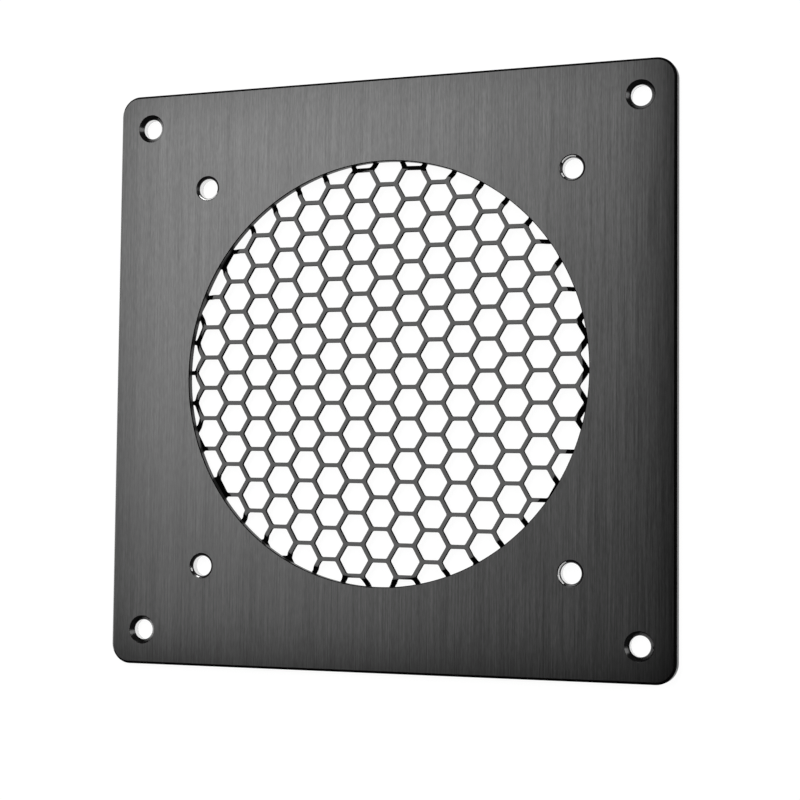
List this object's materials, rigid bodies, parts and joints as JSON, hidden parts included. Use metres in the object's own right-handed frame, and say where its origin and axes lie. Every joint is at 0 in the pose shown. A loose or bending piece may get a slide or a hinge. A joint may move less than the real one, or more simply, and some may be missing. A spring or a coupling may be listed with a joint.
{
  "type": "fan cover plate",
  "caption": "Square brushed plate with a round opening and a dished honeycomb guard, which covers a panel cut-out and carries a fan behind it.",
  "frame": {"origin": "centre of the plate's back face, on the surface that the plate lies on", "axes": "+Z out of the plate's front, +X to the right and +Y up as seen from the front"},
  "size_m": [0.16, 0.16, 0.003],
  "materials": {
    "brushed_black_aluminium": "vertically brushed, black anodised",
    "black_coated_sheet": "matte black coating"
  },
  "bodies": {
    "root": {"face_plate": "brushed_black_aluminium", "honeycomb_guard": "black_coated_sheet"}
  },
  "joints": []
}
